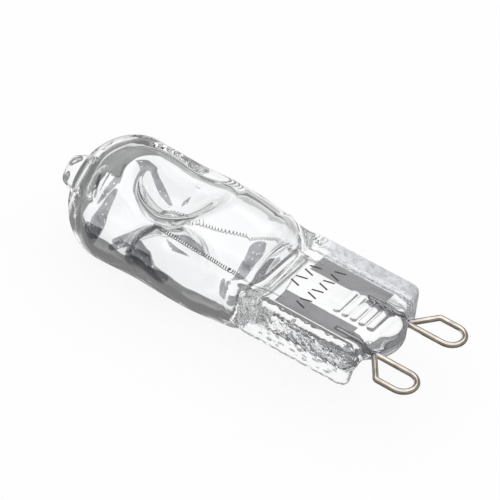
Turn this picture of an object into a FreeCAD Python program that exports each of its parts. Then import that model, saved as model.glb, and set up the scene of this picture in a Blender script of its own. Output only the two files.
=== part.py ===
import FreeCAD, Part
import math
import os

# Halogen capsule bulb with a looped plug-in base. The origin is on the
# lamp's axis at the open end of the base. X runs to the exhaust tip, Y
# across the pressed base and Z out of its front face. Millimetres.

# Bulb
bulb_r = 7.05
neck_drop = 0.5
swell_x = 21.0
swell_drop = 0.04
neck_bow = 0.06
waist_x = 27.6
waist_drop = 0.15
tube_run = 0.8
wall = 1.0
shoulder_x = 13.0
shoulder_round = 2.8
floor_x = 14.1
floor_round = 1.7
dome_x = 33.6
dome_round = 4.1
dome_turn = 66.0

# Exhaust tip
tip_x = 37.95
tip_r = 2.2
tip_round = 1.0
tip_end_x = 40.2
bore_r = 1.5
bore_end_r = 0.5
bore_end_x = 38.6
bore_point = 0.3

# Dimples pressed in from both sides until they meet in a fused neck.
# Each outline is radius and height above the middle of the lamp: foot of
# the bowl, its slope, the turn up into the side and the open top.
dimple_x = 26.8
hollow_foot = [(0, 1.3), (0.85, 1.6), (1.55, 2.4)]
hollow_turn = [(2.6, 3.5), (2.95, 3.9), (3.2, 4.4)]
hollow_top_r = 5.2
skin_foot = [(1.05, 0.5), (1.25, 1.2), (1.75, 1.8)]
skin_turn = [(3.0, 3.0), (3.4, 3.45), (3.65, 3.95)]
skin_top_r = 5.8
mouth_round = 1.1
tool_clear = 0.85

# Pressed base
base_drop = 0.25
base_t = 5.0
base_start_x = -0.1
base_taper_x = 12.6
base_end_x = 15.8
base_taper = 0.9
web_z = 0.4
web_t = 3.0
rail_w = 2.1
rail_top = 1.3
rail_edge = 0.9
rail_crest = 0.3
rail_end_y = 1.3
rail_end_z = 1.0
tongue_inset = 0.35
tongue_t = 2.8
tongue_len = 1.9
tongue_round = 1.0
root_round = 1.4
root_sink = 0.3

# Ridges on the web between the foils
ridge_n = 5
ridge_x = 0.8
ridge_pitch = 1.02
ridge_len = 3.6
ridge_w = 0.72
ridge_high = 0.2

# Foils and leads
foil_inset = 1.35
foil_shift = -0.5
foil_w = 2.5
foil_t = 0.06
foil_x0 = 2.2
foil_x1 = 11.0
wire_r = 0.325
lead_in_x = 4.0
lead_inset = 1.75
loop_gap = 3.0
loop_end_x = -7.0
loop_flat = 0.02
loop_shoulder_x = -3.0
loop_clear = 0.168
loop_return = 0.12
loop_bend = 0.45

# Filament
coil_r = 0.22
coil_lift = 0.55
tail_r = 0.08
tail_x = 10.2
tail_end_x = 14.8
tail_spread = 0.15
leg_left = [(15.8, -4.5), (17.3, -4.15), (19.2, -3.25), (22.0, -2.3), (25.4, -1.42)]
bends_left = [0.5, 2.0, 3.0, 6.0, 4.0]
leg_right = [(25.4, 1.6), (23.5, 1.85), (16.4, 2.45)]
bends_right = [3.0, 4.0, 1.2]
hook_reach = 1.5
hook_w = 1.4
hook_bend = 1.3

base_half = bulb_r - base_drop
web_half = base_half - rail_w
front_z = web_z + web_t / 2
back_z = web_z - web_t / 2
tongue_r = web_half - tongue_inset
tongue_x = base_start_x - tongue_len + tongue_r
corner = 1 - math.sqrt(0.5)
meet = 0.001


def vec(x, y, z):
    return FreeCAD.Vector(x, y, z)


def line(a, b):
    return Part.makeLine(a, b)


def arc(a, mid, b):
    return Part.Arc(a, mid, b).toShape()


def on_circle(cx, cz, r, deg):
    a = math.radians(deg)
    return vec(cx + r * math.cos(a), 0, cz + r * math.sin(a))


def bent_wire(points, radii):
    """Straight runs joined by round bends of the given radii."""
    edges = []
    at = points[0]
    for before, corner, after, r in zip(points, points[1:], points[2:], radii):
        d1 = before.sub(corner).normalize()
        d2 = after.sub(corner).normalize()
        half = d1.getAngle(d2) / 2
        run = r / math.tan(half)
        a = corner.add(d1.multiply(run))
        b = corner.add(d2.multiply(run))
        inward = before.sub(corner).normalize().add(after.sub(corner).normalize()).normalize()
        mid = corner.add(inward.multiply(r / math.sin(half) - r))
        edges += [line(at, a), arc(a, mid, b)]
        at = b
    edges.append(line(at, points[-1]))
    return Part.Wire(edges)


def rod(points, radii, r):
    path = bent_wire(points, radii)
    ring = Part.Wire([Part.makeCircle(r, points[0], points[1].sub(points[0]))])
    return path.makePipeShell([ring], True, True)


def revolve(edges, start, end):
    wire = Part.Wire(edges + [line(end, start)])
    solid = Part.Face(wire).revolve(start, vec(1, 0, 0), 360)
    solid.rotate(start, vec(1, 0, 0), 90)
    return solid


def body_profile(inset, face_x, face_round):
    """Side outline of the bulb from the shoulder face to the end of the dome."""
    r_neck = bulb_r - neck_drop - inset
    cx = face_x + face_round
    a = vec(face_x, 0, 0)
    b = vec(face_x, 0, r_neck - face_round)
    mid = on_circle(cx, r_neck - face_round, face_round, 135)
    c = vec(cx, 0, r_neck)
    swell = vec(swell_x, 0, bulb_r - swell_drop - inset)
    swell_mid = vec((cx + swell_x) / 2, 0, (r_neck + swell.z) / 2 + neck_bow)
    waist = vec(waist_x, 0, bulb_r - waist_drop - inset)
    d = vec(dome_x - tube_run, 0, bulb_r - inset)
    e = vec(dome_x, 0, bulb_r - inset)
    r = dome_round - inset
    cz = bulb_r - dome_round
    f_mid = on_circle(dome_x, cz, r, 90 - dome_turn / 2)
    f = on_circle(dome_x, cz, r, 90 - dome_turn)
    edges = [line(a, b), arc(b, mid, c), arc(c, swell_mid, swell)]
    edges += [arc(swell, waist, d), line(d, e), arc(e, f_mid, f)]
    return edges, a, f


def bulb_outside():
    edges, start, dome_end = body_profile(0, shoulder_x, shoulder_round)
    base = vec(tip_x, 0, tip_r)
    side = vec(tip_end_x - tip_round, 0, tip_r)
    mid = on_circle(side.x, tip_r - tip_round, tip_round, 45)
    rim = vec(tip_end_x, 0, tip_r - tip_round)
    end = vec(tip_end_x, 0, 0)
    edges += [line(dome_end, base), line(base, side), arc(side, mid, rim), line(rim, end)]
    return revolve(edges, start, end)


def bulb_inside():
    edges, start, dome_end = body_profile(wall, floor_x, floor_round)
    lip = vec(tip_x - wall, 0, bore_r)
    neck = vec(bore_end_x - bore_point, 0, bore_end_r)
    end = vec(bore_end_x, 0, 0)
    edges += [line(dome_end, lip), line(lip, neck), line(neck, end)]
    return revolve(edges, start, end)


def dimple(foot, turn, top_r):
    """Round tool turned about the line through the middle of both dimples."""
    top_z = bulb_r + tool_clear
    p = [vec(dimple_x + r, 0, z) for r, z in foot + turn + [(top_r, top_z)]]
    high = vec(dimple_x, 0, top_z)
    low = vec(dimple_x, 0, 0)
    edges = [arc(p[0], p[1], p[2]), line(p[2], p[3]), arc(p[3], p[4], p[5]), line(p[5], p[6])]
    edges.append(line(p[6], high))
    if foot[0][0] > 0:
        edge_low = vec(p[0].x, 0, 0)
        edges += [line(high, low), line(low, edge_low), line(edge_low, p[0])]
    else:
        edges.append(line(high, p[0]))
    return Part.Face(Part.Wire(edges)).revolve(low, vec(0, 0, 1), 360)


def both_sides(tool):
    return [tool, tool.mirror(vec(0, 0, 0), vec(0, 0, 1))]


def rounded(solid, edges, r):
    return solid.makeFillet(r, edges)


def mouths(solid, tools):
    """Edges where the dimples open through the tube."""
    tube = bulb_outside()
    found = []
    for e in solid.Edges:
        point = Part.Vertex(e.valueAt((e.FirstParameter + e.LastParameter) / 2))
        on_tube = point.distToShape(tube.Shells[0])[0] < meet
        on_tool = min(point.distToShape(t.Shells[0])[0] for t in tools) < meet
        if on_tube and on_tool:
            found.append(e)
    return found


def pressed_base():
    """H-shaped pinch: thin web between two rails."""
    y = base_half
    z = base_t / 2
    corners = [(y, z), (y - rail_top, z), (web_half, front_z), (-web_half, front_z)]
    corners += [(rail_top - y, z), (-y, z), (-y, -z), (rail_top - y, -z)]
    corners += [(-web_half, back_z), (web_half, back_z), (y - rail_top, -z), (y, -z)]
    pts = [vec(base_start_x, a, b) for a, b in corners]
    face = Part.Face(Part.makePolygon(pts + pts[:1]))
    block = face.extrude(vec(base_end_x - base_start_x, 0, 0))
    block = rounded(block, lengthwise(block, y), rail_edge)
    block = rounded(block, lengthwise(block, y - rail_top), rail_crest)
    return block.common(base_plan()).common(base_side())


def lengthwise(block, y):
    """Edges that run along X at this distance from the middle."""
    return [e for e in block.Edges
            if e.BoundBox.XLength > meet and abs(abs(e.CenterOfMass.y) - y) < meet]


def rounded_end(x0, half, r, place):
    """Three edges of an end with two round corners, from one side to the other."""
    k = r * corner
    a, a_mid, b = place(x0 + r, -half), place(x0 + k, -half + k), place(x0, r - half)
    c, c_mid, d = place(x0, half - r), place(x0 + k, half - k), place(x0 + r, half)
    return [arc(a, a_mid, b), line(b, c), arc(c, c_mid, d)], a, d


def base_plan():
    """Outline of the base seen from above, tapering into the bulb."""
    edges, a, d = rounded_end(base_start_x, base_half, rail_end_y, lambda x, y: vec(x, y, -base_t))
    e = vec(base_taper_x, base_half, -base_t)
    f = vec(base_end_x, base_half - base_taper, -base_t)
    g = vec(f.x, -f.y, f.z)
    h = vec(e.x, -e.y, e.z)
    edges += [line(d, e), line(e, f), line(f, g), line(g, h), line(h, a)]
    return Part.Face(Part.Wire(edges)).extrude(vec(0, 0, 2 * base_t))


def base_side():
    """Outline of the base seen from the side."""
    edges, a, d = rounded_end(base_start_x, base_t / 2, rail_end_z, lambda x, z: vec(x, -bulb_r, z))
    e = vec(base_end_x, -bulb_r, base_t / 2)
    f = vec(base_end_x, -bulb_r, -base_t / 2)
    edges += [line(d, e), line(e, f), line(f, a)]
    return Part.Face(Part.Wire(edges)).extrude(vec(0, 2 * bulb_r, 0))


def tongue():
    """Round end of the web between the two leads."""
    cx = tongue_x
    r = tongue_round
    low = web_z - tongue_t / 2
    high = web_z + tongue_t / 2
    k = r * corner
    flat = cx + tongue_r - r
    rim = cx + tongue_r
    a, b, c, d = vec(cx, 0, low), vec(flat, 0, low), vec(rim, 0, low + r), vec(rim, 0, high - r)
    e, f = vec(flat, 0, high), vec(cx, 0, high)
    edges = [line(a, b), arc(b, vec(rim - k, 0, low + k), c), line(c, d)]
    edges += [arc(d, vec(rim - k, 0, high - k), e), line(e, f), line(f, a)]
    return Part.Face(Part.Wire(edges)).revolve(a, vec(0, 0, 1), 360)


def root(z, side):
    """Hollow corner between the web and the shoulder of the bulb."""
    r = root_round
    a = vec(shoulder_x - r, -web_half, z)
    b = vec(shoulder_x, -web_half, z + side * r)
    inner_x = shoulder_x + wall / 2
    c = vec(inner_x, -web_half, z + side * r)
    d = vec(inner_x, -web_half, z - side * root_sink)
    e = vec(shoulder_x - r, -web_half, z - side * root_sink)
    k = r * corner
    mid = vec(shoulder_x - k, -web_half, z + side * k)
    edges = [arc(a, mid, b), line(b, c), line(c, d), line(d, e), line(e, a)]
    return Part.Face(Part.Wire(edges)).extrude(vec(0, 2 * web_half, 0))


def ridge(i):
    """Long oval raised on the front of the web."""
    x = ridge_x + i * ridge_pitch
    r = ridge_w / 2
    y = ridge_len / 2 - r
    a, b, c, d = vec(x - r, -y, web_z), vec(x - r, y, web_z), vec(x + r, y, web_z), vec(x + r, -y, web_z)
    edges = [line(a, b), arc(b, vec(x, y + r, web_z), c), line(c, d), arc(d, vec(x, -y - r, web_z), a)]
    return Part.Face(Part.Wire(edges)).extrude(vec(0, 0, front_z + ridge_high - web_z))


def tongue_front(y):
    """Where the glass ends at this distance from the middle."""
    return min(tongue_x - math.sqrt(tongue_r ** 2 - y ** 2), base_start_x - wire_r)


def contact_loop(s):
    """Outer lead bent round into a loop; s is the side of the lamp."""
    y0 = web_half - lead_inset
    y1 = y0 + loop_gap
    y2 = y0 + loop_return
    low = loop_end_x + wire_r
    plan = [(lead_in_x, y0), (low, y0), (low, y1), (loop_shoulder_x, y1)]
    plan.append((tongue_front(y2) - loop_clear, y2))
    turn = (loop_gap - loop_flat) / 2
    return rod([vec(x, s * y, web_z) for x, y in plan], [turn, turn, loop_bend], wire_r)


def foil_y(s):
    return s * (web_half - foil_inset) + foil_shift


def tail_ends(s):
    a = vec(tail_x, foil_y(s), web_z)
    b = coil_point(tail_end_x, foil_y(s) + tail_spread * s)
    return a, b


def coil_point(x, y):
    return vec(x, y, coil_lift * (dimple_x - x) / (dimple_x - tail_end_x))


def coil_points():
    """Corners of the coil's route from one tail round the neck to the other."""
    hook_x = dimple_x + hook_reach
    route = leg_left + [(hook_x, -hook_w), (hook_x, hook_w)] + leg_right
    return [tail_ends(-1)[1]] + [coil_point(x, y) for x, y in route] + [tail_ends(1)[1]]


def filament():
    radii = bends_left + [hook_bend, hook_bend] + bends_right
    parts = [rod(coil_points(), radii, coil_r)]
    for s in (-1, 1):
        a, b = tail_ends(s)
        d = b.sub(a)
        parts.append(Part.makeCylinder(tail_r, d.Length, a, d))
    return parts[0].fuse(parts[1:])


def foil(s):
    corner = vec(foil_x0, foil_y(s) - foil_w / 2, web_z - foil_t / 2)
    return Part.makeBox(foil_x1 - foil_x0, foil_w, foil_t, corner)


def glass_body():
    outside = bulb_outside()
    tools = both_sides(dimple(hollow_foot, hollow_turn, hollow_top_r))
    for tool in tools:
        outside = outside.cut(tool)
    outside = rounded(outside, mouths(outside, tools), mouth_round)
    inside = bulb_inside()
    for tool in both_sides(dimple(skin_foot, skin_turn, skin_top_r)):
        inside = inside.cut(tool)
    extra = [pressed_base(), tongue(), root(front_z, 1), root(back_z, -1)]
    extra += [ridge(i) for i in range(ridge_n)]
    for piece in extra:
        outside = outside.fuse(piece)
    return outside.cut(inside)


def build():
    coil = filament()
    loops = {s: contact_loop(s) for s in (-1, 1)}
    foils = {s: foil(s).cut(loops[s]).cut(coil) for s in (-1, 1)}
    glass = glass_body()
    for tool in (loops[-1], loops[1], coil, foil(-1), foil(1)):
        glass = glass.cut(tool)
    names = {"glass_envelope": glass, "filament": coil}
    names["contact_loop_left"] = loops[-1]
    names["contact_loop_right"] = loops[1]
    names["foil_left"] = foils[-1]
    names["foil_right"] = foils[1]
    return names


def main():
    os.makedirs("parts", exist_ok=True)
    for name, shape in build().items():
        shape.exportStep("parts/%s.step" % name)


main()
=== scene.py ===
import math

import bmesh
import bpy
import numpy as np
from mathutils import Matrix, Vector


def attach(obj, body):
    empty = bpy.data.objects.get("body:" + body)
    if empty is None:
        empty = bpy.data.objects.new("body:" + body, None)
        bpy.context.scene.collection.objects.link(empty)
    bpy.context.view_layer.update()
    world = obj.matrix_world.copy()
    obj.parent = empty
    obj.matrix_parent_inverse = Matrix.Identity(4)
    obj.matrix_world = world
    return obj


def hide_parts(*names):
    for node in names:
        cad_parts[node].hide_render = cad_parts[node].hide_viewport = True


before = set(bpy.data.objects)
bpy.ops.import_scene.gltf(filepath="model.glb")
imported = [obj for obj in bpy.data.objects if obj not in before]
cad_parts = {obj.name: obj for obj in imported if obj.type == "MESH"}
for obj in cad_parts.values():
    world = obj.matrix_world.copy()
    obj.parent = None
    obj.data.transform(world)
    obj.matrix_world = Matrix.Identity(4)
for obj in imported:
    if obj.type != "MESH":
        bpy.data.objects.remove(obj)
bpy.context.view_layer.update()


# Contact loops
# Each outer lead is one piece of plated wire. It comes out of the pressed
# base, is bent round into a flat loop and ends against its own root.
mm = 0.001
wire_r = 0.325
loop_z = 0.4
lead_y = 2.95
lead_end_x = 4.0
loop_gap = 3.0
loop_bend = 0.497 * loop_gap
loop_far_x = -6.675
loop_shoulder_x = -3.0
loop_exit_x = -0.9
loop_return = 0.12
shoulder_bend = 0.45
bend_steps = 14
loop_step = 0.3
loop_sides = 20
plate_grain = 900.0
plate_tones = [(0.3, (0.50, 0.44, 0.38)), (0.7, (0.84, 0.77, 0.69))]
sealed_x = (-1.6, -1.0)
sealed_tone = (0.34, 0.34, 0.36)


def bend(before, corner, after, r):
    """Points of a round bend between two straight runs."""
    d1 = (before - corner) / np.linalg.norm(before - corner)
    d2 = (after - corner) / np.linalg.norm(after - corner)
    half = math.acos(np.clip(d1 @ d2, -1, 1)) / 2
    middle = d1 + d2
    centre = corner + middle / np.linalg.norm(middle) * r / math.sin(half)
    a = corner + d1 * r / math.tan(half) - centre
    b = corner + d2 * r / math.tan(half) - centre
    turn = math.pi - 2 * half
    share = np.linspace(0, 1, bend_steps)[:, None]
    swung = np.sin((1 - share) * turn) * a + np.sin(share * turn) * b
    return centre + swung / math.sin(turn)


def straight(a, b, step):
    """Points along a straight run."""
    n = max(2, int(np.linalg.norm(b - a) / step))
    return a + (b - a) * np.linspace(0, 1, n)[:, None]


def wire_route(corners, radii, step):
    """Straight runs joined by round bends, as evenly spaced points."""
    corners = np.array(corners, float)
    at = corners[0]
    points = []
    for before, corner, after, r in zip(corners, corners[1:], corners[2:], radii):
        round_part = bend(before, corner, after, r)
        points += [straight(at, round_part[0], step)[:-1], round_part[:-1]]
        at = round_part[-1]
    points.append(straight(at, corners[-1], step))
    return np.concatenate(points)


def carried_sides(path):
    """Two directions square to the path, carried along it without twist."""
    along = np.gradient(path, axis=0)
    along /= np.linalg.norm(along, axis=1)[:, None]
    side = np.cross(along[0], (0, 0, 1.0))
    sides = []
    for t in along:
        side = side - t * (side @ t)
        side /= np.linalg.norm(side)
        sides.append(side)
    sides = np.array(sides)
    return sides, np.cross(along, sides)


def new_piece(name, points, faces):
    """A piece put in the scene, from points in mm and the faces between them."""
    mesh = bpy.data.meshes.new(name)
    mesh.from_pydata((np.array(points) * mm).tolist(), [], faces)
    piece = bpy.data.objects.new(name, mesh)
    bpy.context.scene.collection.objects.link(piece)
    return piece


def wire_piece(name, path, radius, corners):
    """Round wire along a path, closed at both ends."""
    side, up = carried_sides(path)
    turn = np.linspace(0, 2 * math.pi, corners, endpoint=False)[None, :, None]
    ring = np.cos(turn) * side[:, None] + np.sin(turn) * up[:, None]
    points = (path[:, None] + radius * ring).reshape(-1, 3)
    n = len(path)
    i, j = np.meshgrid(np.arange(n - 1), np.arange(corners), indexing="ij")
    k = (j + 1) % corners
    here, ahead = i * corners, (i + 1) * corners
    quads = np.stack([here + j, ahead + j, ahead + k, here + k], -1)
    faces = quads.reshape(-1, 4).tolist()
    faces.append(list(range(corners)))
    faces.append([(n - 1) * corners + c for c in reversed(range(corners))])
    piece = new_piece(name, points, faces)
    piece.data.shade_smooth()
    return piece


def shader(name):
    """New material, its shader and its node tree."""
    material = bpy.data.materials.new(name)
    material.use_nodes = True
    tree = material.node_tree
    return material, tree.nodes["Principled BSDF"], tree


def plug(tree, socket, value):
    """Links a socket to another node, or sets it to a plain value."""
    if isinstance(value, bpy.types.NodeSocket):
        tree.links.new(value, socket)
    else:
        socket.default_value = value


def feed(tree, node, **values):
    """Plugs a value or a link into each named input of a node."""
    for name, value in values.items():
        plug(tree, node.inputs[name.replace("_", " ")], value)
    return node


def add(tree, kind, **values):
    """New node of a kind, with its inputs fed."""
    return feed(tree, tree.nodes.new("ShaderNode" + kind), **values)


def rise(tree, value, start, end, top=1.0):
    """A level that goes from 0 at the start to the top at the end."""
    level = add(tree, "MapRange", Value=value, From_Min=start, From_Max=end, To_Max=top)
    return level.outputs["Result"]


def tones(tree, level, stops):
    """Colour that follows a level through the given stops."""
    made = add(tree, "ValToRGB", Fac=level)
    marks = made.color_ramp.elements
    for mark, (position, colour) in ((marks[0], stops[0]), (marks[1], stops[-1])):
        mark.position = position
        mark.color = (*colour, 1)
    for position, colour in stops[1:-1]:
        marks.new(position).color = (*colour, 1)
    return made.outputs["Color"]


def mottled(tree, scale, stops, detail=2.0):
    """Colour that wanders between two tones from place to place on the piece."""
    where = add(tree, "TexCoord")
    cloud = add(tree, "TexNoise", Vector=where.outputs["Object"], Scale=scale, Detail=detail)
    return tones(tree, cloud.outputs["Fac"], stops)


def blend(tree, share, a, b):
    """Mix of two colours, each a link or three numbers."""
    mix = tree.nodes.new("ShaderNodeMix")
    mix.data_type = "RGBA"
    plug(tree, mix.inputs["Factor"], share)
    for socket, colour in ((mix.inputs["A"], a), (mix.inputs["B"], b)):
        plug(tree, socket, (*colour, 1) if isinstance(colour, tuple) else colour)
    return mix.outputs["Result"]


def place_on(tree):
    """X, Y and Z of each point of the piece, in metres."""
    where = add(tree, "TexCoord")
    return add(tree, "SeparateXYZ", Vector=where.outputs["Object"]).outputs


def plated_wire():
    """Pale warm plating with fine drawing marks, greyed where the glass seals it."""
    material, skin, tree = shader("plated_wire")
    plating = mottled(tree, plate_grain, plate_tones)
    sealed = rise(tree, place_on(tree)["X"], sealed_x[0] * mm, sealed_x[1] * mm)
    tone = blend(tree, sealed, plating, sealed_tone)
    feed(tree, skin, Base_Color=tone, Metallic=1.0, Roughness=0.07)
    return material


wire_finish = plated_wire()
for side, node in ((-1, "contact_loop_left"), (1, "contact_loop_right")):
    y0 = side * lead_y
    y1 = side * (lead_y + loop_gap)
    corners = [(lead_end_x, y0, loop_z), (loop_far_x, y0, loop_z), (loop_far_x, y1, loop_z)]
    corners += [(loop_shoulder_x, y1, loop_z), (loop_exit_x, y0 + side * loop_return, loop_z)]
    route = wire_route(corners, [loop_bend, loop_bend, shoulder_bend], loop_step)
    loop = wire_piece("wire_" + node, route, wire_r, loop_sides)
    loop.data.materials.append(wire_finish)
    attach(loop, "root")
    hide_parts(node)


# Sealing foils
# A strip of thin molybdenum foil is pressed into the base under each lead,
# with its narrowed end laid under the wire. The glass shrinks on to it, so it
# shows flat and matt grey.
tab_edge = [(3.9, 0.85), (1.5, 0.8), (0.5, 0.45)]
tab_gap = 0.04
tab_thick = 0.05
foil_grain = 350.0
foil_tones = [(0.0, (0.50, 0.50, 0.52)), (1.0, (0.74, 0.74, 0.76))]


def foil_grey():
    """Matt grey with soft clouds."""
    material, skin, tree = shader("foil_grey")
    clouds = mottled(tree, foil_grain, foil_tones, detail=6.0)
    feed(tree, skin, Base_Color=clouds, Metallic=0.0, Roughness=0.55)
    return material


def lead_tab(name, middle_y):
    """The narrowed end of a foil. The strip itself comes from the solids."""
    top = loop_z - wire_r - tab_gap
    ring = [(x, middle_y + half) for x, half in tab_edge]
    ring += [(x, middle_y - half) for x, half in reversed(tab_edge)]
    points = [(x, y, z) for z in (top - tab_thick, top) for x, y in ring]
    n = len(ring)
    faces = [tuple(range(n)), tuple(reversed(range(n, 2 * n)))]
    faces += [(c, n + c, n + (c + 1) % n, (c + 1) % n) for c in range(n)]
    return new_piece(name, points, faces)


foil_finish = foil_grey()
for side, node in ((-1, "foil_left"), (1, "foil_right")):
    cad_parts[node].data.materials.clear()
    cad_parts[node].data.materials.append(foil_finish)
    tab = lead_tab("lead_tab_" + node.split("_")[1], side * lead_y)
    tab.data.materials.append(foil_finish)
    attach(tab, "root")


# Filament
# One tungsten wire is wound into a close coil. It runs from one foil up to
# the fused neck of the glass, hooks round it and comes back to the other.
coil_r = 0.2
coil_wire_r = 0.042
coil_wire_sides = 6
coil_lift = 0.55
neck_x = 26.8
coil_start_x = 14.8
tail_x = 10.2
tail_z = 0.4
tail_slant = 0.15
foil_y = (-3.85, 2.85)
route_left = [(15.8, -4.5), (17.3, -4.15), (19.2, -3.25), (22.0, -2.3), (25.4, -1.42)]
bends_left = [0.5, 2.0, 3.0, 6.0, 4.0]
route_hook = [(28.3, -1.4), (28.3, 1.4)]
bends_hook = [1.3, 1.3]
route_right = [(25.4, 1.6), (23.5, 1.85), (16.4, 2.45)]
bends_right = [3.0, 4.0, 1.2]
route_step = 0.1
pitch_left = 0.38
pitch_right = 0.31
pitch_change = (0.45, 0.6)
steps_in_turn = 16
tungsten_grain = 2000.0
tungsten_tones = [(0.0, (0.33, 0.32, 0.31)), (1.0, (0.47, 0.46, 0.45))]


def coil_height(x):
    """The coil climbs from the neck's level towards the base."""
    return coil_lift * (neck_x - x) / (neck_x - coil_start_x)


def wound_wire(path):
    """The wire's own centre line, wound round the coil's route."""
    span = np.linalg.norm(np.diff(path, axis=0), axis=1)
    length = np.concatenate([[0], np.cumsum(span)])
    change = [0, length[-1] * pitch_change[0], length[-1] * pitch_change[1], length[-1]]
    pitch = np.interp(length, change, [pitch_left, pitch_left, pitch_right, pitch_right])
    turns = np.concatenate([[0], np.cumsum(span / pitch[1:])])
    at = np.linspace(0, turns[-1], int(turns[-1] * steps_in_turn))
    line, side, up = [np.stack([np.interp(at, turns, v[:, c]) for c in range(3)], -1)
                      for v in (path,) + carried_sides(path)]
    angle = 2 * math.pi * at[:, None]
    return line + coil_r * (np.cos(angle) * side + np.sin(angle) * up)


def tungsten():
    """Dull grey metal with a fine grain."""
    material, skin, tree = shader("tungsten")
    grain = mottled(tree, tungsten_grain, tungsten_tones)
    feed(tree, skin, Base_Color=grain, Metallic=0.8, Roughness=0.4)
    return material


coil_plan = [(coil_start_x, foil_y[0] - tail_slant)] + route_left + route_hook + route_right
coil_plan.append((coil_start_x, foil_y[1] + tail_slant))
coil_corners = [(x, y, coil_height(x)) for x, y in coil_plan]
coil_route = wire_route(coil_corners, bends_left + bends_hook + bends_right, route_step)
tails = [np.array([(tail_x, y, tail_z)]) for y in foil_y]
coil_line = np.concatenate([tails[0], wound_wire(coil_route), tails[1]])
filament = wire_piece("filament_coil", coil_line, coil_wire_r, coil_wire_sides)
filament.data.materials.append(tungsten())
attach(filament, "root")
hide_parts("filament")


# Glass envelope
# A tube of fused silica, drawn to a tip at one end and pressed flat over the
# foils at the other. Two dimples pushed in from its faces meet in a neck.

# Tube, shoulder and dome.
bulb_r = 7.05
wall = 1.0
dome_wall = 1.5
neck_drop = 0.5
neck_end_x = 21.0
neck_run = 6.5
waist_x = 27.6
waist_drop = 0.15
waist_run = 3.2
shoulder_x = 13.0
shoulder_round = 2.8
floor_x = 14.1
floor_round = 1.7
dome_round = 4.1
dome_foot = (37.95, 2.2)
dome_slope = (0.970, 0.2423)
room_round = 2.8
wave = 0.016
crisp = 0.1

# Exhaust tip, and the tapered bore that is left in it.
tip_r = 2.2
tip_root_x = 30.0
tip_end_x = 40.2
tip_round = 1.0
tip_foot_round = 0.7
tip_lump = 0.12
bore_x = (36.95, 38.3)
bore_r = (1.5, 0.5)
bore_slope = 0.8
bore_root_x = 33.0
bore_round = 0.3
bore_foot_round = 0.5

# Dimples. The slopes of the hollow and of its skin inside the tube each run
# through two points of (distance from the neck's line, height off its middle).
dimple_slopes = [((0.5, 0.7), (2.9, 2.65)), ((3.2, 3.3), (5.6, 7.9))]
dimple_floor = 0.55
dimple_round = 0.9
dimple_floor_round = 0.6
dimple_rim_round = 2.0
dimple_lean = 0.2
dimple_tilt = 0.25
skin_slopes = [((1.05, 0.3), (3.4, 2.15)), ((3.9, 3.0), (6.6, 7.9))]
skin_round = 1.6
skin_rim_round = 1.2
fused_r = 1.05
fused_round = 0.7

# Pressed base, with its rails, web, tongue and cross ridges.
base_half_w = 6.8
base_half_t = 2.5
base_start_x = -0.1
base_reach = 1.5
base_end_round = 1.0
base_tube_round = 1.0
rail_crest_y = 5.5
rail_round = 0.8
rail_web_round = 0.3
ripple = 0.012
web_y = 4.7
web_z = 0.4
web_half_t = 1.5
web_under_rail = 0.3
web_edge_round = 0.05
web_foot_round = 0.4
taper_x = 12.6
taper = 0.28
tongue_r = 4.35
tongue_x = 2.35
tongue_half_t = 1.4
tongue_round = 1.0
tongue_foot_round = 0.3
ridge_x = [0.8, 1.82, 2.84, 3.86, 4.88]
ridge_half = 1.55
ridge_r = 0.5
ridge_high = 0.36
ridge_foot_round = 0.15

# Patches of painted shade on the rear inner wall, in place of the dark that
# the bent glass shows, and a band of painted light and shade along the rim of
# the dimple in the front one. Each is a line of (x, y, half width), drawn as it
# shows from the front, and the lean below carries it down through the depth.
painted_shade_lean = (0.66, -0.97)
painted_shade_wall = 0.05
painted_shade_past_middle = 0.8
no_painted_shade = 9.0
# Painted light and shade: the band along the front dimple's rim.
rim = [
    (33.0, -2.1, 0.2), (31.4, -1.1, 0.42), (29.7, -0.4, 0.5), (28.2, -0.3, 0.5),
    (26.6, -0.6, 0.48), (25.6, -1.9, 0.45), (25.1, -3.6, 0.35), (25.2, -5.1, 0.15),
]
# Painted shade: dark patches on the rear inner wall, each line as above.
painted_shade_lines = [
    [(38.8, -7.4, 0.6), (36.9, -6.8, 0.7), (34.8, -5.5, 0.6),
     (32.6, -4.2, 0.65), (30.6, -2.9, 0.65), (28.7, -1.9, 0.3)],
    [(27.6, 0.5, 0.25), (27.8, 2.4, 0.5), (28.2, 4.4, 0.7), (29.1, 6.6, 0.5)],
    [(27.4, 5.2, 0.9), (26.2, 6.2, 1.3), (24.4, 7.4, 1.0), (22.0, 8.0, 0.6)],
    [(36.9, -5.2, 0.12), (35.6, -2.4, 0.35), (34.7, 1.4, 0.3), (34.5, 2.8, 0.12)],
    [(37.5, -3.8, 0.1), (36.6, -1.3, 0.22), (35.9, 0.9, 0.1)],
    [(38.6, -2.6, 0.15), (37.3, 0.0, 0.25), (35.8, 2.2, 0.15)],
    [(40.0, -4.3, 0.3), (40.0, -5.8, 0.5), (39.8, -7.3, 0.25)],
    [(28.7, -6.8, 0.15), (27.9, -6.8, 0.35), (27.1, -7.9, 0.12)],
    [(25.2, 1.4, 0.2), (23.9, 1.0, 0.5), (22.2, 1.4, 0.5), (20.8, 2.1, 0.12)],
    [(25.4, 2.4, 0.1), (23.9, 3.1, 0.35), (22.1, 3.2, 0.1)],
    [(27.4, -2.6, 0.1), (27.5, -3.6, 0.3), (27.7, -4.8, 0.08)],
    [(17.2, -2.9, 1.2), (16.1, -1.4, 1.6), (15.9, 0.8, 1.3), (15.5, 3.2, 0.8), (14.8, 5.4, 0.5)],
    [(34.5, -0.3, 0.2), (33.6, 2.1, 0.5), (32.7, 5.0, 0.9), (31.9, 7.3, 0.9)],
]

# Grid that the mesh starts from, finer in the base, and the turns in which its
# points are drawn on to the surface and evened out.
grid_start_x = -2.4
grid_change_x = 14.0
grid_end_x = 41.0
base_cell = 0.18
tube_cell = 0.25
grid_half = 7.35
side_cell = 0.2
settle_turns = 7
even_turns = range(2, 6)
even_keep = 0.3
even_pull = 0.7
least_slope = 0.05
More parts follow.
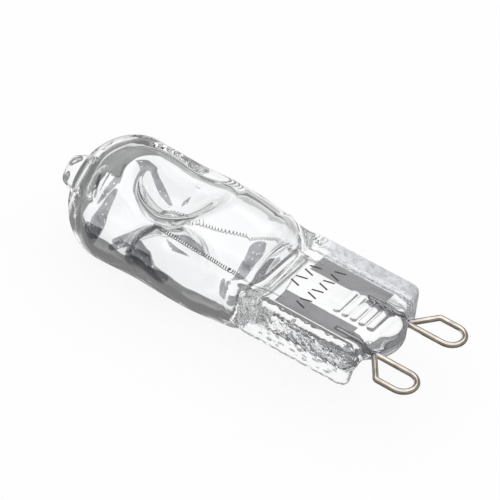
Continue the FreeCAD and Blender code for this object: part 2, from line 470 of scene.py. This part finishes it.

# Finish: how silica bends light, painted shade with dust in the dark patches,
# painted lines of light and shade along the rim, and the frosted skin and fine
# pits of the pressed rails.
silica_ior = 1.458
painted_shade_edge = (-0.06, 0.06)
streak_draw = (0.3, 1.0, 1.0)
streak_scale = 700.0
# Dark greys of the painted shade.
painted_shade_tones = [(0.35, (0.06, 0.062, 0.070)), (0.72, (0.27, 0.28, 0.30))]
dust_scale = 1600.0
dust_size = (0.22, 0.15)
dust_tone = (0.85, 0.85, 0.87)
rim_depth = (-0.5, 0.03)
# Painted light and shade: grey, pale and near-black stripes across the rim band, ending in the
# clear glass's white.
rim_painted_light_and_shade = [
    (0.0, (0.42, 0.43, 0.45)), (0.3, (0.6, 0.6, 0.6)), (0.45, (0.24, 0.24, 0.24)),
    (0.62, (0.7, 0.7, 0.7)), (0.8, (0.1, 0.1, 0.1)), (0.94, (0.1, 0.1, 0.1)),
    (1.0, (0.992, 0.996, 1.0)),
]
base_fade_x = (12.0, 10.8)
frost_y = (-4.6, -5.1)
frost_tone = (0.93, 0.95, 1.0)
frost_rough = 0.3
pit_y = (5.0, 5.4)
pit_scale = 1700.0
pit_deep = 0.12
pit_strength = 0.45


def joined(a, b, r):
    """Two solids with a hollow round of radius r where they meet."""
    round_part = np.hypot(np.maximum(r - a, 0), np.maximum(r - b, 0))
    return np.maximum(r, np.minimum(a, b)) - round_part


def shared(a, b, r):
    """The part inside both solids, with its edge rounded to radius r."""
    return -joined(-a, -b, r)


def slope_side(q, h, line):
    """Distance outside a sloping wall through two points, measured square to it."""
    (q0, h0), (q1, h1) = line
    run = math.hypot(q1 - q0, h1 - h0)
    return ((q - q0) * (h1 - h0) - (h - h0) * (q1 - q0)) / run


def tube_radius(x):
    """The tube draws in towards the base, and a little at its waist."""
    t = np.clip((neck_end_x - x) / neck_run, 0, 1)
    neck = neck_drop * t * t * (3 - 2 * t)
    return bulb_r - neck - waist_drop * np.exp(-((x - waist_x) / waist_run) ** 2)


def dome_side(x, rho):
    """Distance outside the dome's blunt cone."""
    return dome_slope[0] * (x - dome_foot[0]) + dome_slope[1] * (rho - dome_foot[1])


def from_neck(x, y, z):
    """Distance from the neck's line and height off its middle. The front dimple leans."""
    q = np.hypot(x - neck_x + dimple_tilt * np.maximum(z, 0), y)
    return q, np.abs(z) + dimple_lean * (x - neck_x) * (z > 0)


def bulb_outside(x, y, z):
    """Tube, dome and tip, with the two dimples pushed in."""
    rho = np.hypot(y, z)
    tube = shared(rho - tube_radius(x), dome_side(x, rho), dome_round)
    tube = shared(tube, shoulder_x - x, shoulder_round)
    lumps = 1.2 + np.sin(2.6 * y + 1) * np.sin(2.2 * z + 2.4 * x)
    tip = shared(rho - tip_r + tip_lump * lumps, x - tip_end_x, tip_round)
    tip = shared(tip, tip_root_x - x, crisp)
    bulb = joined(tube, tip, tip_foot_round)
    q, h = from_neck(x, y, z)
    slopes = [slope_side(q, h, line) for line in dimple_slopes]
    hollow = shared(*slopes, dimple_round)
    hollow = shared(hollow, dimple_floor - h, dimple_floor_round)
    return shared(bulb, -hollow, dimple_rim_round)


def waves(x, y, z):
    """Slow unevenness that the flame leaves in the glass."""
    slow = np.sin(0.9 * x + 0.6 * y) * np.cos(0.8 * z - 0.35 * x)
    return slow + 0.5 * np.sin(1.7 * x - 1.1 * z + 0.8 * y)


def bulb_inside(x, y, z):
    """The gas space, with the bore of the tip and round the skin of the dimples."""
    rho = np.hypot(y, z) + wave * waves(x, y, z)
    room = shared(rho - tube_radius(x) + wall, dome_side(x, rho) + dome_wall, room_round)
    room = shared(room, floor_x - x, floor_round)
    hole = (rho - np.interp(x, bore_x, bore_r)) * bore_slope
    hole = shared(hole, x - bore_x[1], bore_round)
    hole = shared(hole, bore_root_x - x, crisp)
    room = joined(room, hole, bore_foot_round)
    q, h = from_neck(x, y, z)
    slopes = [slope_side(q, h, line) for line in skin_slopes]
    skin = shared(*slopes, skin_round)
    skin = joined(skin, q - fused_r, fused_round)
    return shared(room, -skin, skin_rim_round)


def pressed_base(x, y, z):
    """Rails at both sides of a thinner web, with the tongue and the cross ridges."""
    side = np.abs(y)
    rough = np.sin(9.1 * x + 3 * z) * np.sin(8.3 * z + 2.1 * x)
    rough = rough + np.sin(5.3 * x - 6.1 * z + 1.7 * side)
    outer = side - base_half_w + taper * np.maximum(x - taper_x, 0) + ripple * (rough + 1.5)
    rail = shared(outer, np.abs(z) - base_half_t, rail_round)
    crest = (-rail_crest_y, base_half_t)
    front = slope_side(-side, z, ((-web_y, web_z + web_half_t), crest))
    back = slope_side(-side, -z, ((-web_y, web_half_t - web_z), crest))
    rail = shared(shared(rail, front, rail_web_round), back, rail_web_round)
    web_side = side - web_y - web_under_rail
    web = shared(np.abs(z - web_z) - web_half_t, web_side, web_edge_round)
    base = joined(rail, web, web_foot_round)
    base = shared(base, base_start_x - x, base_end_round)
    base = shared(base, x - floor_x - base_reach, crisp)
    tongue_face = np.abs(z - web_z) - tongue_half_t
    tongue = shared(np.hypot(x - tongue_x, y) - tongue_r, tongue_face, tongue_round)
    base = joined(base, tongue, tongue_foot_round)
    ridge_z = web_z + web_half_t + ridge_high - ridge_r
    for at in ridge_x:
        off_line = np.hypot(x - at, np.maximum(side - ridge_half, 0))
        base = joined(base, np.hypot(off_line, z - ridge_z) - ridge_r, ridge_foot_round)
    return base


def glass(x, y, z):
    """The whole envelope: less than zero in the glass, more than zero in the open."""
    outside = joined(bulb_outside(x, y, z), pressed_base(x, y, z), base_tube_round)
    return np.maximum(outside, -bulb_inside(x, y, z))


def slope_of(field, p, step=0.004):
    """Direction in which the field grows fastest."""
    g = np.empty_like(p)
    for c in range(3):
        d = np.zeros(3)
        d[c] = step
        g[:, c] = (field(*(p + d).T) - field(*(p - d).T)) / (2 * step)
    return g


def skin_cells(inside):
    """Numbers of the grid cells that the surface passes through."""
    n = sum(inside[a:a - 1 or None, b:b - 1 or None, c:c - 1 or None].astype(np.int8)
            for a in (0, 1) for b in (0, 1) for c in (0, 1))
    crossed = (n > 0) & (n < 8)
    number = np.full(crossed.shape, -1)
    number[crossed] = np.arange(crossed.sum())
    return crossed, number


def skin_quads(inside, number):
    """One quad round each grid edge that the surface crosses."""
    quads = []
    for axis in range(3):
        b, c = (axis + 1) % 3, (axis + 2) % 3
        inner = [slice(None)] * 3
        inner[b] = inner[c] = slice(1, -1)
        low, high = list(inner), list(inner)
        low[axis], high[axis] = slice(0, -1), slice(1, None)
        into = inside[tuple(low)] & ~inside[tuple(high)]
        out = ~inside[tuple(low)] & inside[tuple(high)]
        for mask, order in ((into, 1), (out, -1)):
            at = np.argwhere(mask)
            at[:, b] += 1
            at[:, c] += 1
            round_edge = []
            for db, dc in ((-1, -1), (0, -1), (0, 0), (-1, 0)):
                cell = at.copy()
                cell[:, b] += db
                cell[:, c] += dc
                round_edge.append(number[tuple(cell.T)])
            quads.append(np.stack(round_edge[::order], -1))
    return np.concatenate(quads)


def settled(field, points, quads):
    """The points drawn on to the surface, and spread out evenly along it."""
    pairs = np.concatenate([quads[:, [c, (c + 1) % 4]] for c in range(4)])
    count = np.bincount(pairs.ravel(), minlength=len(points))[:, None]
    for turn in range(settle_turns):
        if turn in even_turns:
            total = np.zeros_like(points)
            np.add.at(total, pairs[:, 0], points[pairs[:, 1]])
            np.add.at(total, pairs[:, 1], points[pairs[:, 0]])
            points = even_keep * points + even_pull * total / count
        for _ in range(2):
            g = slope_of(field, points)
            size = np.maximum((g * g).sum(1), least_slope)
            points = points - g * (field(*points.T) / size)[:, None]
    return points


def skin_of(name, field, xs, ys, zs):
    """Closed smooth piece where the field is zero, with exact normals, and its points."""
    inside = field(*np.meshgrid(xs, ys, zs, indexing="ij")) < 0
    crossed, number = skin_cells(inside)
    quads = skin_quads(inside, number)
    at = np.argwhere(crossed)
    centres = [(v[1:] + v[:-1]) / 2 for v in (xs, ys, zs)]
    points = np.stack([centres[c][at[:, c]] for c in range(3)], -1)
    points = settled(field, points, quads)
    normals = slope_of(field, points)
    normals /= np.linalg.norm(normals, axis=1)[:, None]
    piece = new_piece(name, points, quads.tolist())
    piece.data.shade_smooth()
    piece.data.normals_split_custom_set_from_vertices(normals.tolist())
    return piece, points


def gap_to(lines, points, side):
    """How far each point of the inner wall, on one side, lies outside the lines, in mm."""
    x, y, z = points.T
    flat = np.stack([x + painted_shade_lean[0] * z, y + painted_shade_lean[1] * z], -1)
    near = np.full(len(points), no_painted_shade)
    for line in lines:
        line = np.array(line)
        for a, b in zip(line, line[1:]):
            run = b[:2] - a[:2]
            t = np.clip((flat - a[:2]) @ run / (run @ run), 0, 1)
            gap = np.linalg.norm(flat - a[:2] - t[:, None] * run, axis=1)
            near = np.minimum(near, gap - a[2] - t * (b[2] - a[2]))
    inner = (np.abs(bulb_inside(x, y, z)) < painted_shade_wall) & (side * z > -painted_shade_past_middle)
    return np.where(inner, near, no_painted_shade)


def point_measure(tree, name):
    """A measure that the mesh carries at each of its points."""
    made = tree.nodes.new("ShaderNodeAttribute")
    made.attribute_name = name
    return made.outputs["Fac"]


def maths(tree, operation, *values):
    """The result of one sum on levels."""
    made = tree.nodes.new("ShaderNodeMath")
    made.operation = operation
    for socket, value in zip(made.inputs, values):
        plug(tree, socket, value)
    return made.outputs[0]


def painted_shade_with_dust(tree):
    """Painted shade: grey streaks drawn out along the bulb, with pale specks of dust."""
    where = add(tree, "TexCoord").outputs["Object"]
    drawn = tree.nodes.new("ShaderNodeVectorMath")
    drawn.operation = "MULTIPLY"
    plug(tree, drawn.inputs[0], where)
    plug(tree, drawn.inputs[1], streak_draw)
    streaks = add(tree, "TexNoise", Vector=drawn.outputs[0], Scale=streak_scale, Detail=5.0)
    painted_shade = tones(tree, streaks.outputs["Fac"], painted_shade_tones)
    specks = add(tree, "TexVoronoi", Vector=where, Scale=dust_scale)
    dust = rise(tree, specks.outputs["Distance"], *dust_size)
    return blend(tree, dust, painted_shade, dust_tone)


def pitted_rails(tree, place, on_base):
    """Fine pits that the press leaves in the outer faces of the rails."""
    where = add(tree, "TexCoord").outputs["Object"]
    pits = add(tree, "TexVoronoi", Vector=where, Scale=pit_scale)
    off_middle = maths(tree, "ABSOLUTE", place["Y"])
    on_rails = rise(tree, off_middle, pit_y[0] * mm, pit_y[1] * mm)
    strength = maths(tree, "MULTIPLY", rise(tree, on_base, 0.0, 1.0, pit_strength), on_rails)
    bump = add(tree, "Bump", Height=pits.outputs["Distance"], Distance=pit_deep * mm,
               Strength=strength)
    return bump.outputs["Normal"]


def fused_silica():
    """Clear glass, frosted on the far rail, with patches of painted shade and a painted light
    and shade rim.
    """
    material, skin, tree = shader("fused_silica")
    place = place_on(tree)
    # Painted light and shade: stripes across the band along the dimple's rim.
    off_painted_rim = rise(tree, point_measure(tree, "rim_gap"), *rim_depth)
    # Painted shade: the dark patches on the rear inner wall.
    off_painted_shade = rise(tree, point_measure(tree, "painted_shade_gap"), *painted_shade_edge)
    clear = blend(tree, off_painted_shade, painted_shade_with_dust(tree), tones(tree, off_painted_rim, rim_painted_light_and_shade))
    on_base = rise(tree, place["X"], base_fade_x[0] * mm, base_fade_x[1] * mm)
    far_rail = rise(tree, place["Y"], frost_y[0] * mm, frost_y[1] * mm)
    frost = maths(tree, "MULTIPLY", far_rail, on_base)
    feed(tree, skin, Transmission_Weight=1.0, IOR=silica_ior,
         Base_Color=blend(tree, frost, clear, frost_tone),
         Roughness=rise(tree, frost, 0.0, 1.0, frost_rough),
         Normal=pitted_rails(tree, place, on_base))
    return material


along_x = np.concatenate([np.arange(grid_start_x, grid_change_x, base_cell),
                          np.arange(grid_change_x, grid_end_x, tube_cell)])
across = np.arange(-grid_half, grid_half + 0.01, side_cell)
envelope, glass_points = skin_of("glass_tube", glass, along_x, across, across)
# Where the painted shade and the painted rim band lie on the inner wall.
for mark, lines, side in (("painted_shade_gap", painted_shade_lines, -1), ("rim_gap", [rim], 1)):
    measure = envelope.data.attributes.new(mark, "FLOAT", "POINT")
    measure.data.foreach_set("value", gap_to(lines, glass_points, side))
envelope.data.materials.append(fused_silica())
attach(envelope, "root")
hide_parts("glass_envelope")


# Bubbles
# Air caught in the thick rails when the base was pressed. The pull of the
# press drew each bubble a little longer along the bulb.
bubble_count = 70
bubble_x = (0.9, 11.6)
bubble_y = (5.35, 6.35)
bubble_z = (-1.7, 1.7)
bubble_size = (0.07, 0.17)
bubble_pull = (1.2, 2.8)
bubble_seed = 5
bubble_grain = 2500.0
bubble_tones = [(0.0, (0.86, 0.88, 0.92)), (1.0, (0.99, 0.99, 1.0))]


def caught_air():
    """All bubbles as one piece, their skins facing the air inside them."""
    ball = bmesh.new()
    bmesh.ops.create_icosphere(ball, subdivisions=2, radius=1.0)
    skin = np.array([v.co for v in ball.verts])
    faces = np.array([[v.index for v in f.verts][::-1] for f in ball.faces])
    ball.free()
    chance = np.random.default_rng(bubble_seed)
    points, all_faces = [], []
    for side in (-1, 1):
        for _ in range(bubble_count):
            x, y = chance.uniform(*bubble_x), side * chance.uniform(*bubble_y)
            middle = np.array([x, y, chance.uniform(*bubble_z)])
            r = chance.uniform(*bubble_size)
            all_faces.append(faces + len(points) * len(skin))
            points.append(middle + skin * (r * chance.uniform(*bubble_pull), r, r))
    all_faces = np.concatenate(all_faces).tolist()
    piece = new_piece("bubbles_in_rails", np.concatenate(points), all_faces)
    piece.data.shade_smooth()
    return piece


def bubble_skin():
    """The glass's inner face round each bubble, faintly clouded."""
    material, skin, tree = shader("bubble_skin")
    grain = mottled(tree, bubble_grain, bubble_tones)
    feed(tree, skin, Base_Color=grain, Transmission_Weight=1.0, IOR=silica_ior, Roughness=0.0)
    return material


bubbles = caught_air()
bubbles.data.materials.append(bubble_skin())
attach(bubbles, "root")


# Printed marks
# Two rows of plain leaning dashes. Each is a thin film of dark ink, baked on
# to the front of the web.
ink_z = 1.9
ink_thick = 0.02
ink_bite = 0.01
dash_half = (0.6, 0.1)
dash_lean = 0.3
dash_rows = [((10.55, 0.9), (10.25, -2.4), 4), ((8.2, 3.3), (7.8, -3.3), 8)]
ink_grain = 3000.0
ink_tones = [(0.0, (0.02, 0.015, 0.012)), (1.0, (0.16, 0.12, 0.10))]


def dash(x, y, lean):
    """Corners of one leaning stroke of ink, bottom ring first."""
    a, b = dash_half
    flat = [(x + u, y + v + lean * u) for u, v in ((-a, -b), (a, -b), (a, b), (-a, b))]
    return [(u, v, h) for h in (ink_z - ink_bite, ink_z + ink_thick) for u, v in flat]


def ink_strokes():
    """Rows of dashes between two ends, leaning to either side in turn."""
    points, faces = [], []
    for (x0, y0), (x1, y1), count in dash_rows:
        for k in range(count):
            share = k / (count - 1)
            lean = dash_lean if k % 2 else -dash_lean
            n = len(points)
            points += dash(x0 + (x1 - x0) * share, y0 + (y1 - y0) * share, lean)
            faces += [(n, n + 3, n + 2, n + 1), (n + 4, n + 5, n + 6, n + 7)]
            faces += [(n + c, n + (c + 1) % 4, n + 4 + (c + 1) % 4, n + 4 + c) for c in range(4)]
    return new_piece("printed_marks", points, faces)


def baked_ink():
    """Dull dark ink, worn paler in specks."""
    material, skin, tree = shader("baked_ink")
    worn = mottled(tree, ink_grain, ink_tones)
    feed(tree, skin, Base_Color=worn, Roughness=0.6)
    return material


marks = ink_strokes()
marks.data.materials.append(baked_ink())
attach(marks, "root")


# Table
# A white panel set in a grey table, with its front edge under the middle of
# the bulb, so that the bent glass shows both. The camera sees all of it as
# white, with a faint shadow.
table_half = 400.0
table_drop = 0.02
panel_front_y = 1.5
panel_back_y = -26.0
panel_far_x = 43.0
panel_near_x = 0.0
panel_edge = 0.3
table_grey = (0.2, 0.2, 0.2)
back_grey = (0.55, 0.55, 0.55)
white = (1.0, 1.0, 1.0)
camera_glow = 0.9


def past_edge(tree, value, edge):
    """Rises from 0 to 1 across an edge of the panel."""
    start, end = (edge - panel_edge / 2) * mm, (edge + panel_edge / 2) * mm
    level = add(tree, "MapRange", Value=value, From_Min=start, From_Max=end)
    level.interpolation_type = "SMOOTHSTEP"
    return level.outputs["Result"]


def panel_in_table():
    """Glows at full strength in metal and glass, and keeps a shadow for the camera."""
    material, skin, tree = shader("panel_in_table")
    spot = add(tree, "NewGeometry").outputs["Position"]
    split = add(tree, "SeparateXYZ", Vector=spot).outputs
    tone = blend(tree, past_edge(tree, split["Y"], panel_back_y), back_grey, white)
    tone = blend(tree, past_edge(tree, split["X"], panel_near_x), table_grey, tone)
    tone = blend(tree, past_edge(tree, split["X"], panel_far_x), tone, table_grey)
    tone = blend(tree, past_edge(tree, split["Y"], panel_front_y), tone, table_grey)
    path = add(tree, "LightPath").outputs
    tone = blend(tree, path["Is Camera Ray"], tone, white)
    feed(tree, skin, Base_Color=tone, Roughness=0.9)
    glow = add(tree, "Emission", Color=tone, Strength=1.0)
    in_glass = maths(tree, "MAXIMUM", path["Is Glossy Ray"], path["Is Transmission Ray"])
    plain = maths(tree, "MULTIPLY", path["Is Camera Ray"], camera_glow)
    mix = add(tree, "MixShader", Fac=maths(tree, "MAXIMUM", in_glass, plain))
    plug(tree, mix.inputs[1], skin.outputs[0])
    plug(tree, mix.inputs[2], glow.outputs[0])
    plug(tree, tree.nodes["Material Output"].inputs["Surface"], mix.outputs[0])
    return material


ends = [(-table_half, -table_half), (table_half, -table_half)]
ends += [(table_half, table_half), (-table_half, table_half)]
table = new_piece("table", [(x, y, -(bulb_r + table_drop)) for x, y in ends], [(0, 1, 2, 3)])
table.data.materials.append(panel_in_table())


# Light
# Even studio light: a pale room with a darker band round it and a bright
# soft panel overhead. The stops run from straight down to straight up.
room_tones = [
    (0.0, (1.0, 1.0, 1.0)), (0.54, (0.8, 0.8, 0.8)), (0.60, (0.25, 0.25, 0.25)),
    (0.80, (0.25, 0.25, 0.25)), (0.86, (1.4, 1.4, 1.4)), (1.0, (1.4, 1.4, 1.4)),
]
glass_bounces = 32


def studio_room():
    """Room tones by height. The camera sees plain white instead."""
    world = bpy.data.worlds.new("studio_room")
    world.use_nodes = True
    bpy.context.scene.world = world
    tree = world.node_tree
    where = add(tree, "TexCoord").outputs["Generated"]
    height = add(tree, "SeparateXYZ", Vector=where).outputs["Z"]
    room = tones(tree, rise(tree, height, -1.0, 1.0), room_tones)
    path = add(tree, "LightPath").outputs
    seen = blend(tree, path["Is Camera Ray"], room, white)
    feed(tree, tree.nodes["Background"], Color=seen, Strength=1.0)


studio_room()
bpy.context.scene.cycles.max_bounces = glass_bounces
bpy.context.scene.cycles.glossy_bounces = glass_bounces
bpy.context.scene.cycles.transmission_bounces = glass_bounces


# Camera
# It looks down on the front of the base from beyond the contact loops, with
# a long lens that takes in the whole bulb.
eye = Vector((-103.63, 195.77, 202.33)) * mm
aim = Vector((18.08, -1.95, 0.0)) * mm
camera_roll = math.radians(6.325)
camera_data = bpy.data.cameras.new("camera")
camera_data.sensor_width = 36.0
camera_data.lens = 213.4
camera_data.clip_start = 0.01
camera = bpy.data.objects.new("camera", camera_data)
bpy.context.scene.collection.objects.link(camera)
look = (aim - eye).to_track_quat("-Z", "Y").to_matrix().to_4x4()
camera.matrix_world = Matrix.Translation(eye) @ look @ Matrix.Rotation(camera_roll, 4, "Z")
bpy.context.scene.camera = camera
bpy.context.scene.view_settings.view_transform = "Standard"
